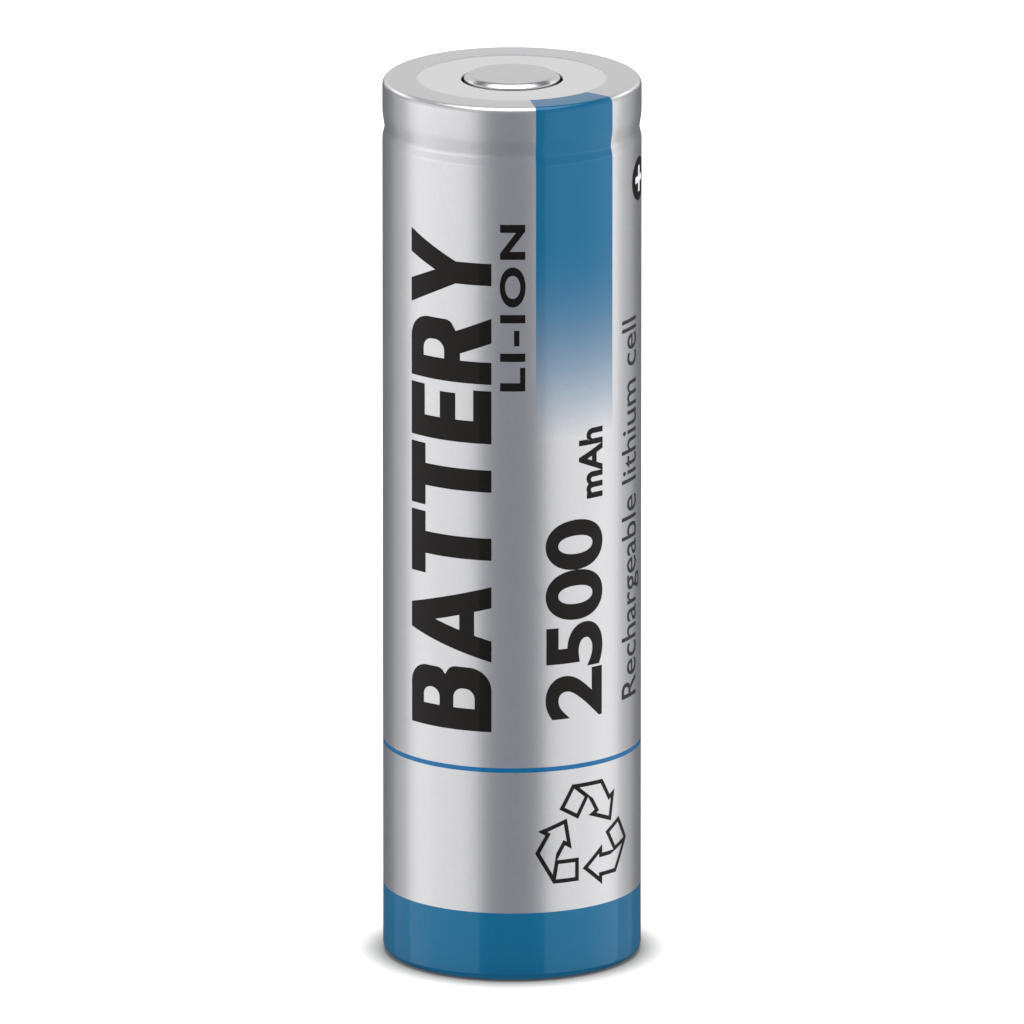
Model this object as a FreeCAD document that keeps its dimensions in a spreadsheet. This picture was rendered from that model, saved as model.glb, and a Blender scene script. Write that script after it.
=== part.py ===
"""Rechargeable lithium-ion cell of the common 18 x 65 mm cylindrical size.

The cell is built from the pieces that a real one comes apart into: a printed shrink sleeve, an
insulating washer, a drawn steel can, the crimped-in cap stack with its current interrupter, and
the wound roll of two electrodes and two separators with its tabs.

Millimetres. The cell stands on its negative end. +Z points to the positive button, the origin is
the middle of the sleeve's lower face, and both tabs leave the roll on the +Y side.
"""

import FreeCAD
import Part
import math
import os
import re
import Sketcher
from FreeCAD import Vector

SHEET = "dims"

DIMENSIONS = (
    # the whole cell
    ("cell_height", 65.0, "lower face of the sleeve to the top of the button"),
    ("air_gap", 0.01, "air left between pieces that touch"),
    ("overshoot", 1.0, "how far a cutting tool runs past what it cuts"),
    # shrink sleeve
    ("sleeve_radius", 9.3, "outside of the sleeve"),
    ("sleeve_top", 64.75, "upper face of the sleeve's lip"),
    ("film", 0.1, "thickness of the shrink film"),
    ("lower_lip", 7.0, "radius of the opening at the negative end"),
    ("upper_lip", 6.85, "radius of the opening at the positive end"),
    ("foot_bend", 0.6, "outer bend of the sleeve at the negative end"),
    ("shoulder_bend", 0.5, "outer bend of the sleeve at the positive end"),
    ("groove_middle", 61.15, "height of the rolled groove's middle"),
    ("dip_below", 0.7, "how far below the groove's middle the sleeve's dip begins"),
    ("dip_above", 1.15, "how far above the groove's middle the dip ends"),
    ("dip_depth", 0.17, "how far the sleeve dips into the groove"),
    ("dip_lower_bend", 0.8, "outer bend at the dip's lower edge"),
    ("dip_upper_bend", 3.0, "outer bend at the dip's soft upper edge"),
    ("dip_floor_bend", 1.0, "outer bend at the bottom of the dip"),
    # steel can
    ("can_wall", 0.2, "wall of the can"),
    ("can_floor", 0.3, "base of the can"),
    ("can_top", 64.45, "upper face of the crimped lip"),
    ("crimp_radius", 6.9, "free edge of the crimped lip"),
    ("crimp_bend", 0.38, "outer bend of the crimp"),
    ("inner_bend", 0.3, "bend inside the can's foot"),
    ("bead_radius", 8.05, "outside of the can at the bottom of the groove"),
    ("bead_mouth", 0.65, "half the groove's height at the wall"),
    ("bead_floor", 0.45, "half the groove's height at its bottom"),
    ("bead_edge_bend", 0.3, "outer bend at the groove's lower edge"),
    ("bead_top_bend", 0.8, "outer bend at the groove's upper edge"),
    ("bead_bend", 0.35, "outer bend at the groove's bottom"),
    ("bead_edge_inner", 0.1, "the lower edge's bend on the inside of the wall"),
    ("contact_radius", 6.6, "flat negative contact inside the coined ring"),
    ("coin_width", 0.2, "width of the coined ring"),
    ("coin_depth", 0.04, "depth of the coined ring"),
    # insulating washer
    ("washer_sheet", 0.18, "thickness of the washer"),
    ("washer_radius", 8.6, "outside of the washer"),
    ("washer_hole", 3.66, "hole round the button"),
    # cap stack, from its seat upwards
    ("seat", 62.51, "underside of the vent disc"),
    ("stack_radius", 8.2, "outside of the pieces clamped in the gasket"),
    ("stack_gap", 0.02, "air between the clamped pieces"),
    ("disc_sheet", 0.3, "thickness of the vent disc"),
    ("ptc_sheet", 0.3, "thickness of the resettable fuse ring"),
    ("ptc_hole", 5.0, "hole of the resettable fuse ring"),
    ("cap_sheet", 0.3, "thickness of the positive cap"),
    ("button_radius", 3.45, "outside of the button"),
    ("crown_width", 0.45, "radial width of the slope round the button's flat face"),
    ("crown_drop", 0.26, "height of that slope"),
    ("crown_bend", 0.6, "outer bend where the flat face meets that slope"),
    ("crown_edge_bend", 0.12, "outer bend where that slope meets the button's wall"),
    ("crown_mitre", 0.268, "tangent of half the turn from flat face to crown slope"),
    ("crown_edge_mitre", 0.577, "tangent of half the turn from crown slope to wall"),
    ("slope_foot", 4.75, "radius where the cap's slope meets its flange"),
    ("slope_rise", 0.65, "height of the cap's slope"),
    ("slope_bend", 0.25, "outer bend at the slope's upper end"),
    ("slope_top_mitre", 0.618, "tangent of half the turn from button wall to slope"),
    ("slope_foot_mitre", 0.236, "tangent of half the turn from slope to flange"),
    ("vent_near", 3.8, "inner edge of the gas vents in the cap's slope"),
    ("vent_far", 4.6, "outer edge of the gas vents"),
    ("vent_half", 1.1, "half the width of a gas vent"),
    # current interrupter
    ("rim_hole", 4.05, "hole of the vent disc's clamped rim"),
    ("dish_radius", 4.0, "outside of the dish that snaps up"),
    ("dish_foot", 0.9, "flat foot of the dish, welded to the plate"),
    ("dish_run", 2.0, "radial length of the dish's cone"),
    ("dish_depth", 0.5, "depth of the dish below the rim"),
    ("dish_mitre", 0.123, "tangent of half the turn at the dish's bends"),
    ("dish_bend", 0.4, "bend of the dish"),
    ("holder_hole", 4.4, "hole of the interrupter's insulator"),
    ("holder_radius", 6.65, "outside of the interrupter's insulator"),
    ("holder_wall", 0.3, "skirt of the interrupter's insulator"),
    ("holder_skirt", 0.51, "height of that skirt"),
    ("plate_radius", 6.3, "outside of the interrupter plate"),
    ("plate_sheet", 0.44, "thickness of the interrupter plate"),
    ("plate_hole", 0.6, "radius of each hole in the plate"),
    ("plate_ring", 3.8, "radius of the ring of holes"),
    ("weld_radius", 1.2, "thinned weld spot in the plate"),
    ("weld_depth", 0.2, "depth of the thinned spot"),
    # gasket
    ("gasket_radius", 8.95, "outside of the gasket"),
    ("gasket_bottom", 62.03, "underside of the gasket"),
    ("gasket_top", 64.23, "upper face of the gasket"),
    ("gasket_bore", 8.25, "inside of the gasket's wall"),
    ("gasket_lower_lip", 6.75, "edge of the gasket's lower lip"),
    ("gasket_upper_lip", 6.6, "edge of the gasket's upper lip"),
    ("gasket_foot_bend", 0.65, "bend at the gasket's foot, over the groove"),
    ("gasket_top_bend", 0.35, "bend at the gasket's top"),
    # wound roll
    ("roll_start", 1.95, "radius at which the first separator starts"),
    ("separator_sheet", 0.02, "thickness of a separator"),
    ("cathode_sheet", 0.15, "thickness of the coated aluminium foil"),
    ("anode_sheet", 0.16, "thickness of the coated copper foil"),
    ("roll_bottom", 0.75, "lower edge of the separators"),
    ("separator_width", 59.0, "height of the separators"),
    ("anode_width", 58.0, "height of the negative electrode"),
    ("cathode_width", 57.0, "height of the positive electrode"),
    ("tape_start", 8.81, "inside of the roll's closing tape"),
    ("tape_sheet", 0.05, "thickness of the tape"),
    ("tape_width", 57.0, "height of the tape"),
    ("tape_arc", 100.0, "degrees of the roll that the tape covers"),
    # insulating discs and centre pin
    ("disc_paper", 0.2, "thickness of the two insulating discs"),
    ("lower_disc_bottom", 0.54, "underside of the lower insulating disc"),
    ("lower_disc_radius", 8.75, "outside of the lower insulating disc"),
    ("lower_disc_hole", 1.25, "its middle hole, for the weld of the tab"),
    ("upper_disc_bottom", 59.95, "underside of the upper insulating disc"),
    ("upper_disc_radius", 8.8, "outside of the upper insulating disc"),
    ("upper_disc_hole", 1.6, "its middle hole, for gas from the roll"),
    ("fill_hole", 0.9, "radius of the filling holes"),
    ("fill_ring", 5.5, "radius of the ring of filling holes"),
    ("pin_radius", 1.7, "outside of the centre pin"),
    ("pin_wall", 0.25, "wall of the centre pin"),
    ("pin_length", 58.4, "length of the centre pin"),
    ("pin_taper", 0.12, "how much the pin's ends are drawn in"),
    ("pin_taper_length", 0.6, "length of each drawn-in end"),
    ("pin_slit_half", 0.25, "half the pin's slit"),
    # tabs
    ("tab_sheet", 0.1, "thickness of both tabs"),
    ("tab_half", 2.0, "half the width of both tabs"),
    ("tab_room", 0.1, "room round a tab in its slots and pockets"),
    ("tab_pocket", 0.12, "bare strip cleared in the coating for a tab"),
    ("negative_tab_top", 56.0, "upper end of the negative tab"),
    ("negative_tab_end", 1.5, "how far its foot runs past the axis"),
    ("positive_tab_bottom", 8.0, "lower end of the positive tab"),
    ("positive_tab_shelf", 60.8, "upper face of the tab's first run over the roll"),
    ("positive_fold", 3.2, "how far that run goes past the axis before it folds back"),
    ("positive_tab_end", 2.5, "how far the folded run comes back past the axis"),
    ("fold_bend", 0.35, "outer bend of the fold"),
    ("plate_gap", 0.03, "air between the folded run and the interrupter plate"),
)

# half turns of the roll on which each strip starts and ends
SEPARATOR_TURNS = (0, 34)
ANODE_TURNS = (1, 32)
CATHODE_TURNS = (2, 30)
CATHODE_TAB_TURN = 16
ANODE_TAB_TURN = 32

PLATE_HOLES = 6
CAP_VENTS = 4
FILL_HOLES = 3

# heights and radii that several pieces share, in terms of the sheet
CAN_RADIUS = "(sleeve_radius - film - air_gap)"
CAN_BASE = "(film + air_gap)"
WASHER_BOTTOM = "(can_top + air_gap)"
PTC_BOTTOM = "(seat + disc_sheet + stack_gap)"
FLANGE_BOTTOM = "(seat + disc_sheet + ptc_sheet + 2 * stack_gap)"
FLANGE_TOP = "(seat + disc_sheet + ptc_sheet + 2 * stack_gap + cap_sheet)"
DISH_BOTTOM = "(seat - dish_depth)"
PLATE_TOP = "(seat - dish_depth - stack_gap)"
PLATE_BOTTOM = "(seat - dish_depth - stack_gap - plate_sheet)"


def make_sheet(doc):
    """Write the driving dimensions into a spreadsheet, one alias to a row."""
    sheet = doc.addObject("Spreadsheet::Sheet", SHEET)
    for row, (alias, value, meaning) in enumerate(DIMENSIONS, start=1):
        sheet.set(f"A{row}", alias)
        sheet.set(f"B{row}", str(value))
        sheet.set(f"C{row}", meaning)
        sheet.setAlias(f"B{row}", alias)
    doc.recompute()
    return sheet


def bound(formula):
    """A formula in the sheet's aliases, as an expression that FreeCAD can bind."""
    return re.sub(r"\b[a-z]\w*\b(?!\()", lambda word: f"{SHEET}.{word.group()}", formula)


def value_of(doc, formula):
    """The present value of a formula in the sheet's aliases."""
    return float(doc.getObject(SHEET).evalExpression(bound(formula)))


def origin_plane(body, role):
    """One of a body's own origin planes, or its axes, found by its role."""
    return next(f for f in body.Origin.OriginFeatures if f.Role == role)


def new_sketch(body, name, plane):
    """An empty sketch on one of the body's origin planes."""
    sketch = body.newObject("Sketcher::SketchObject", name)
    sketch.AttachmentSupport = [(origin_plane(body, plane), "")]
    sketch.MapMode = "FlatFace"
    return sketch


def bind_distance(sketch, kind, geometry, end, formula, value):
    """Hold a point at a signed distance from the sketch's origin, or on its axis at nought."""
    horizontal = kind == "DistanceX"
    if abs(value) < 1e-9:
        axis = -2 if horizontal else -1
        sketch.addConstraint(Sketcher.Constraint("PointOnObject", geometry, end, axis))
        return
    if value > 0:
        constraint = Sketcher.Constraint(kind, -1, 1, geometry, end, value)
        expression = bound(formula)
    else:
        constraint = Sketcher.Constraint(kind, geometry, end, -1, 1, -value)
        expression = f"-({bound(formula)})"
    index = sketch.addConstraint(constraint)
    sketch.setExpression(f"Constraints[{index}]", expression)


def rounded_corner(before, corner, after, radius):
    """Where a bend of this radius leaves the two lines that meet at a corner, and its centre."""
    back = (before - corner).normalize()
    ahead = (after - corner).normalize()
    half = back.getAngle(ahead) / 2
    reach = radius / math.tan(half)
    centre = corner + (back + ahead).normalize() * (radius / math.sin(half))
    return corner + back * reach, corner + ahead * reach, centre


def bend(start, end, centre):
    """The short arc from start to end round centre, and which of its ends is the start."""
    first = math.atan2(start.y - centre.y, start.x - centre.x)
    last = math.atan2(end.y - centre.y, end.x - centre.x)
    turned = (last - first) % (2 * math.pi)
    circle = Part.Circle(centre, Vector(0, 0, 1), (start - centre).Length)
    if turned < math.pi:
        return Part.ArcOfCircle(circle, first, first + turned), 1, 2
    return Part.ArcOfCircle(circle, last, last + 2 * math.pi - turned), 2, 1


def outline(body, name, plane, corners):
    """A closed outline through corners of (x, y) or (x, y, bend radius), each a formula."""
    doc = body.Document
    sketch = new_sketch(body, name, plane)
    at = [Vector(value_of(doc, c[0]), value_of(doc, c[1]), 0) for c in corners]
    count = len(corners)
    ends = []
    for n, corner in enumerate(corners):
        if len(corner) == 3:
            radius = value_of(doc, corner[2])
            ends.append(rounded_corner(at[n - 1], at[n], at[(n + 1) % count], radius))
        else:
            ends.append((at[n], at[n], None))
    lines = [
        sketch.addGeometry(Part.LineSegment(ends[n][1], ends[(n + 1) % count][0]))
        for n in range(count)
    ]
    for n, corner in enumerate(corners):
        before = lines[n - 1]
        after = lines[n]
        if len(corner) == 2:
            sketch.addConstraint(Sketcher.Constraint("Coincident", before, 2, after, 1))
            point, end = after, 1
        else:
            arc, first, last = bend(*ends[n])
            curve = sketch.addGeometry(arc)
            sketch.addConstraint(Sketcher.Constraint("Tangent", before, 2, curve, first))
            sketch.addConstraint(Sketcher.Constraint("Tangent", curve, last, after, 1))
            radius = sketch.addConstraint(Sketcher.Constraint("Radius", curve, arc.Radius))
            sketch.setExpression(f"Constraints[{radius}]", bound(corner[2]))
            point, end = sketch.addGeometry(Part.Point(at[n]), True), 1
            sketch.addConstraint(Sketcher.Constraint("PointOnObject", point, end, before))
            sketch.addConstraint(Sketcher.Constraint("PointOnObject", point, end, after))
        bind_distance(sketch, "DistanceX", point, end, corner[0], at[n].x)
        bind_distance(sketch, "DistanceY", point, end, corner[1], at[n].y)
    return sketch


def turned(doc, name, corners):
    """A piece turned about the Z axis from its half section of (radius, height) corners."""
    body = doc.addObject("PartDesign::Body", name)
    body.Label = name
    sketch = outline(body, f"{name}_section", "XZ_Plane", corners)
    turn = body.newObject("PartDesign::Revolution", f"{name}_turn")
    turn.Profile = sketch
    turn.ReferenceAxis = (sketch, ["V_Axis"])
    turn.Angle = 360
    sketch.Visibility = False
    return body


def flat_ring(doc, name, hole, radius, bottom, thickness):
    """A washer-like piece turned about the Z axis."""
    top = f"{bottom} + {thickness}"
    return turned(doc, name, ((hole, bottom), (radius, bottom), (radius, top), (hole, top)))


def cut_through(body, name, sketch):
    """Cut a sketch of the XY plane right through its body along Z."""
    pocket = body.newObject("PartDesign::Pocket", name)
    pocket.Profile = sketch
    pocket.Type = "ThroughAll"
    pocket.SideType = "Symmetric"
    sketch.Visibility = False
    return pocket


def cut_window(body, name, x_low, x_high, y_low, y_high):
    """Cut a rectangular window right through a body along Z."""
    corners = ((x_low, y_low), (x_high, y_low), (x_high, y_high), (x_low, y_high))
    return cut_through(body, name, outline(body, f"{name}_edge", "XY_Plane", corners))


def cut_round_hole(body, name, ring, radius):
    """Drill a hole right through a body along Z, at the -X side of a ring of holes."""
    doc = body.Document
    sketch = new_sketch(body, f"{name}_edge", "XY_Plane")
    centre = Vector(-value_of(doc, ring), 0, 0)
    circle = sketch.addGeometry(Part.Circle(centre, Vector(0, 0, 1), value_of(doc, radius)))
    index = sketch.addConstraint(Sketcher.Constraint("Radius", circle, value_of(doc, radius)))
    sketch.setExpression(f"Constraints[{index}]", bound(radius))
    bind_distance(sketch, "DistanceX", circle, 3, f"-{ring}", centre.x)
    bind_distance(sketch, "DistanceY", circle, 3, "0", 0)
    return cut_through(body, name, sketch)


def repeat_round_axis(body, feature, count, angle=360):
    """Repeat a feature round the Z axis."""
    pattern = body.newObject("PartDesign::PolarPattern", f"{feature.Name}_ring")
    pattern.Originals = [feature]
    pattern.Axis = (origin_plane(body, "Z_Axis"), [""])
    pattern.Angle = angle
    pattern.Occurrences = count
    body.Tip = pattern
    return pattern


def rod(doc, name, radius, bottom, height):
    """A Part cylinder on the Z axis, bound to the sheet."""
    cylinder = doc.addObject("Part::Cylinder", name)
    cylinder.setExpression("Radius", bound(radius))
    cylinder.setExpression("Height", bound(height))
    cylinder.setExpression("Placement.Base.z", bound(bottom))
    return cylinder


def block(doc, name, half_width, y_low, y_length, bottom, height):
    """A Part box that is symmetric in X, bound to the sheet."""
    box = doc.addObject("Part::Box", name)
    box.setExpression("Length", bound(f"2 * ({half_width})"))
    box.setExpression("Width", bound(y_length))
    box.setExpression("Height", bound(height))
    box.setExpression("Placement.Base.x", bound(f"-({half_width})"))
    box.setExpression("Placement.Base.y", bound(y_low))
    box.setExpression("Placement.Base.z", bound(bottom))
    return box


def combined(doc, kind, name, base, tool):
    """A boolean of two objects: kind is Part::Cut, Part::Fuse or Part::Common."""
    result = doc.addObject(kind, name)
    result.Base = base
    result.Tool = tool
    base.Visibility = False
    tool.Visibility = False
    return result


def curved_strip(doc, name, outside, sheet, half_width, bottom, height):
    """An upright strip that is curved to a cylinder, on the +Y side of the axis."""
    span = (f"{bottom} - overshoot", f"{height} + 2 * overshoot")
    outer = rod(doc, f"{name}_outside", outside, bottom, height)
    inner = rod(doc, f"{name}_inside", f"{outside} - {sheet}", *span)
    tube = combined(doc, "Part::Cut", f"{name}_tube", outer, inner)
    width = block(doc, f"{name}_width", half_width, "0", outside, *span)
    return combined(doc, "Part::Common", name, tube, width)


def shrink_sleeve(doc):
    """Printed film shrunk round the can, over the rim of both ends and a little into the groove."""
    outer = "sleeve_radius"
    inner = "(sleeve_radius - film)"
    low = "(groove_middle - dip_below)"
    high = "(groove_middle + dip_above)"
    corners = (
        ("lower_lip", "0"),
        (outer, "0", "foot_bend"),
        (outer, low, "dip_lower_bend"),
        (f"{outer} - dip_depth", "groove_middle", "dip_floor_bend"),
        (outer, high, "dip_upper_bend"),
        (outer, "sleeve_top", "shoulder_bend"),
        ("upper_lip", "sleeve_top"),
        ("upper_lip", "sleeve_top - film"),
        (inner, "sleeve_top - film", "shoulder_bend - film"),
        (inner, high, "dip_upper_bend - film"),
        (f"{inner} - dip_depth", "groove_middle", "dip_floor_bend + film"),
        (inner, low, "dip_lower_bend - film"),
        (inner, "film", "foot_bend - film"),
        ("lower_lip", "film"),
    )
    return turned(doc, "shrink_sleeve", corners)


def steel_can(doc):
    """Drawn can: flat base with a coined ring, rolled groove, and a lip crimped over the cap."""
    outer = CAN_RADIUS
    inner = f"({CAN_RADIUS} - can_wall)"
    coin_top = f"{CAN_BASE} + coin_depth"
    coin_edge = "contact_radius + coin_width"
    inner_mouth = "(bead_mouth + can_wall)"
    corners = (
        ("0", CAN_BASE),
        ("contact_radius", CAN_BASE),
        ("contact_radius", coin_top),
        (coin_edge, coin_top),
        (coin_edge, CAN_BASE),
        (outer, CAN_BASE, "foot_bend - film - air_gap"),
        (outer, "groove_middle - bead_mouth", "bead_edge_bend"),
        ("bead_radius", "groove_middle - bead_floor", "bead_bend"),
        ("bead_radius", "groove_middle + bead_floor", "bead_bend"),
        (outer, "groove_middle + bead_mouth", "bead_top_bend"),
        (outer, "can_top", "crimp_bend"),
        ("crimp_radius", "can_top"),
        ("crimp_radius", "can_top - can_wall"),
        (inner, "can_top - can_wall", "crimp_bend - can_wall"),
        (inner, f"groove_middle + {inner_mouth}", "bead_top_bend - can_wall"),
        ("bead_radius - can_wall", "groove_middle + bead_mouth", "bead_bend + can_wall"),
        ("bead_radius - can_wall", "groove_middle - bead_mouth", "bead_bend + can_wall"),
        (inner, f"groove_middle - {inner_mouth}", "bead_edge_inner"),
        (inner, f"{CAN_BASE} + can_floor", "inner_bend"),
        ("0", f"{CAN_BASE} + can_floor"),
    )
    return turned(doc, "steel_can", corners)


def insulating_washer(doc):
    """Paper washer that keeps the can's lip apart from the button."""
    sizes = ("washer_hole", "washer_radius", WASHER_BOTTOM, "washer_sheet")
    return flat_ring(doc, "insulating_washer", *sizes)


def positive_cap(doc):
    """Pressed cap: crowned button, sloped wall with gas vents, and the flange that the gasket clamps."""
    slope_top = f"({FLANGE_TOP} + slope_rise)"
    under = "(cell_height - cap_sheet)"
    inside = "(button_radius - cap_sheet)"
    face = "(button_radius - crown_width)"
    crown_foot = "(cell_height - crown_drop)"
    corners = (
        ("0", "cell_height"),
        ("0", under),
        (f"{face} - cap_sheet * crown_mitre", under, "crown_bend - cap_sheet"),
        (inside, f"{crown_foot} - cap_sheet * crown_edge_mitre"),
        (inside, f"{slope_top} - cap_sheet * slope_top_mitre", "slope_bend + cap_sheet"),
        ("slope_foot - cap_sheet * slope_foot_mitre", FLANGE_BOTTOM, "slope_bend"),
        ("stack_radius", FLANGE_BOTTOM),
        ("stack_radius", FLANGE_TOP),
        ("slope_foot", FLANGE_TOP, "slope_bend + cap_sheet"),
        ("button_radius", slope_top, "slope_bend"),
        ("button_radius", crown_foot, "crown_edge_bend"),
        (face, "cell_height", "crown_bend"),
    )
    body = turned(doc, "positive_cap", corners)
    vent = cut_window(body, "gas_vent", "vent_near", "vent_far", "-vent_half", "vent_half")
    repeat_round_axis(body, vent, CAP_VENTS)
    return body


def ptc_ring(doc):
    """Resettable fuse: a conductive polymer ring whose resistance jumps when it overheats."""
    return flat_ring(doc, "ptc_ring", "ptc_hole", "stack_radius", PTC_BOTTOM, "ptc_sheet")


def vent_disc_rim(doc):
    """Clamped rim of the aluminium vent disc, outside its scored ring."""
    return flat_ring(doc, "vent_disc_rim", "rim_hole", "stack_radius", "seat", "disc_sheet")


def vent_disc_dish(doc):
    """Middle of the vent disc: a dish that snaps up off the plate below when gas lifts it."""
    top = "(seat + disc_sheet)"
    shift = "dish_mitre * disc_sheet"
    knee = "(dish_foot + dish_run)"
    corners = (
        ("0", DISH_BOTTOM),
        ("dish_foot", DISH_BOTTOM, "dish_bend"),
        (knee, "seat", "dish_bend"),
        ("dish_radius", "seat"),
        ("dish_radius", top),
        (f"{knee} - {shift}", top, "dish_bend"),
        (f"dish_foot - {shift}", f"{DISH_BOTTOM} + disc_sheet", "dish_bend"),
        ("0", f"{DISH_BOTTOM} + disc_sheet"),
    )
    return turned(doc, "vent_disc_dish", corners)


def interrupter_insulator(doc):
    """Plastic holder that carries the interrupter plate below the vent disc."""
    low = f"{DISH_BOTTOM} - holder_skirt"
    inside = "(holder_radius - holder_wall)"
    corners = (
        ("holder_hole", DISH_BOTTOM),
        (inside, DISH_BOTTOM),
        (inside, low),
        ("holder_radius", low),
        ("holder_radius", "seat - stack_gap"),
        ("holder_hole", "seat - stack_gap"),
    )
    return turned(doc, "interrupter_insulator", corners)


def interrupter_plate(doc):
    """Aluminium plate with gas holes, thinned in the middle where the dish is welded to it."""
    corners = (
        ("0", PLATE_TOP),
        ("0", f"{PLATE_BOTTOM} + weld_depth"),
        ("weld_radius", f"{PLATE_BOTTOM} + weld_depth"),
        ("weld_radius", PLATE_BOTTOM),
        ("plate_radius", PLATE_BOTTOM),
        ("plate_radius", PLATE_TOP),
    )
    body = turned(doc, "interrupter_plate", corners)
    hole = cut_round_hole(body, "plate_gas_hole", "plate_ring", "plate_hole")
    repeat_round_axis(body, hole, PLATE_HOLES)
    return body


def crimp_gasket(doc):
    """Plastic gasket that seals and insulates the cap stack in the crimp."""
    corners = (
        ("gasket_lower_lip", "gasket_bottom"),
        ("gasket_radius", "gasket_bottom", "gasket_foot_bend"),
        ("gasket_radius", "gasket_top", "gasket_top_bend"),
        ("gasket_upper_lip", "gasket_top"),
        ("gasket_upper_lip", f"{FLANGE_TOP} + stack_gap"),
        ("gasket_bore", f"{FLANGE_TOP} + stack_gap"),
        ("gasket_bore", "seat - stack_gap"),
        ("gasket_lower_lip", "seat - stack_gap"),
    )
    return turned(doc, "crimp_gasket", corners)


def bottom_insulator(doc):
    """Insulating disc between the can's base and the roll, notched for the negative tab."""
    sizes = ("lower_disc_hole", "lower_disc_radius", "lower_disc_bottom", "disc_paper")
    body = flat_ring(doc, "bottom_insulator", *sizes)
    half = "(tab_half + tab_room)"
    near = "lower_disc_radius - 6 * tab_room"
    far = "lower_disc_radius + overshoot"
    cut_window(body, "negative_tab_notch", f"-{half}", half, near, far)
    return body


def top_insulator(doc):
    """Insulating disc over the roll, with a slot for the positive tab and filling holes."""
    sizes = ("upper_disc_hole", "upper_disc_radius", "upper_disc_bottom", "disc_paper")
    body = flat_ring(doc, "top_insulator", *sizes)
    half = "(tab_half + tab_room)"
    outside = f"({tab_radius('cathode', CATHODE_TAB_TURN)})"
    sagitta = f"({outside} - sqrt({outside} ^ 2 - {half} ^ 2))"
    near = f"{outside} - tab_sheet - tab_room - {sagitta}"
    cut_window(body, "positive_tab_slot", f"-{half}", half, near, f"{outside} + tab_room")
    hole = cut_round_hole(body, "fill_hole_cut", "fill_ring", "fill_hole")
    repeat_round_axis(body, hole, FILL_HOLES, 180)
    return body


def center_pin(doc):
    """Slit steel tube that keeps the middle of the roll open as a gas channel."""
    bottom = "roll_bottom"
    top = "(roll_bottom + pin_length)"
    inside = "pin_radius - pin_wall"
    end = "pin_radius - pin_taper"
    corners = (
        (inside, bottom),
        (end, bottom),
        ("pin_radius", f"{bottom} + pin_taper_length"),
        ("pin_radius", f"{top} - pin_taper_length"),
        (end, top),
        (inside, top),
    )
    body = turned(doc, "center_pin", corners)
    far = "pin_radius + overshoot"
    cut_window(body, "pin_slit", "pin_radius / 2", far, "-pin_slit_half", "pin_slit_half")
    return body


def roll_pitch():
    """How much the roll's radius grows in a whole turn: four strips with air on each."""
    return "(2 * separator_sheet + cathode_sheet + anode_sheet + 4 * air_gap)"


def strip_start(strip):
    """How far outside the first separator a strip of the roll begins."""
    offsets = {
        "inner_separator": "0",
        "cathode": "(separator_sheet + air_gap)",
        "outer_separator": "(separator_sheet + cathode_sheet + 2 * air_gap)",
        "anode": "(2 * separator_sheet + cathode_sheet + 3 * air_gap)",
    }
    return offsets[strip]


def tab_radius(strip, half_turn):
    """Outside of a tab that lies in its electrode's bare strip, on an even half turn."""
    turns = half_turn // 2
    face = f"roll_start + {strip_start(strip)} + {strip}_sheet + {turns} * {roll_pitch()}"
    return f"{face} - air_gap"


def spiral_edge(radius, pitch, half_turns):
    """A spiral of half circles: the even ones round the axis, the odd ones half a pitch aside."""
    first, last = half_turns
    arcs = []
    for half_turn in range(first, last + 1):
        turn, odd = divmod(half_turn, 2)
        size = radius + turn * pitch + odd * pitch / 2
        centre = Vector(odd * pitch / 2, 0, 0)
        start = centre + Vector(-size if odd else size, 0, 0)
        middle = centre + Vector(0, -size if odd else size, 0)
        end = centre + Vector(size if odd else -size, 0, 0)
        arcs.append(Part.Arc(start, middle, end).toShape())
    return arcs


def wound_strip(doc, name, strip, sheet, half_turns, width):
    """One strip of the roll: a long foil wound as a spiral and standing upright."""
    inside = value_of(doc, f"roll_start + {strip_start(strip)}")
    pitch = value_of(doc, roll_pitch())
    thickness = value_of(doc, sheet)
    height = value_of(doc, width)
    margin = (value_of(doc, "separator_width") - height) / 2
    inner = spiral_edge(inside, pitch, half_turns)
    outer = spiral_edge(inside + thickness, pitch, half_turns)
    start = Part.makeLine(inner[0].firstVertex(True).Point, outer[0].firstVertex(True).Point)
    end = Part.makeLine(inner[-1].lastVertex(True).Point, outer[-1].lastVertex(True).Point)
    wire = Part.Wire(Part.__sortEdges__([start, *inner, end, *outer]))
    foil = doc.addObject("Part::Feature", name)
    foil.Shape = Part.Face(wire).extrude(Vector(0, 0, height))
    foil.Placement.Base = Vector(0, 0, value_of(doc, "roll_bottom") + margin)
    return foil


def electrode(doc, name, strip, half_turns, tab_turn):
    """A wound electrode with the bare strip where its tab is welded on."""
    coating = wound_strip(
        doc, f"{name}_foil", strip, f"{strip}_sheet", half_turns, f"{strip}_width"
    )
    face = f"{tab_radius(strip, tab_turn)} + air_gap"
    if strip == "anode":
        bottom = "0"
        height = "negative_tab_top + tab_room"
    else:
        bottom = "positive_tab_bottom - tab_room"
        height = "separator_width"
    bare = curved_strip(
        doc,
        f"{name}_bare",
        f"({face} + tab_room)",
        "(tab_pocket + tab_room)",
        "(tab_half + tab_room)",
        f"({bottom})",
        f"({height})",
    )
    return combined(doc, "Part::Cut", name, coating, bare)


def roll_tape(doc):
    """Tape over the loose end of the separators on the outside of the roll."""
    bottom = "roll_bottom + (separator_width - tape_width) / 2"
    outer = rod(doc, "tape_outside", "tape_start + tape_sheet", bottom, "tape_width")
    outer.setExpression("Angle", bound("tape_arc"))
    outer.setExpression("Placement.Rotation.Angle", f"(180 - {bound('tape_arc')} / 2) * 1 deg")
    inner = rod(doc, "tape_inside", "tape_start", "0", "tape_width + separator_width")
    return combined(doc, "Part::Cut", "roll_tape", outer, inner)


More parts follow.
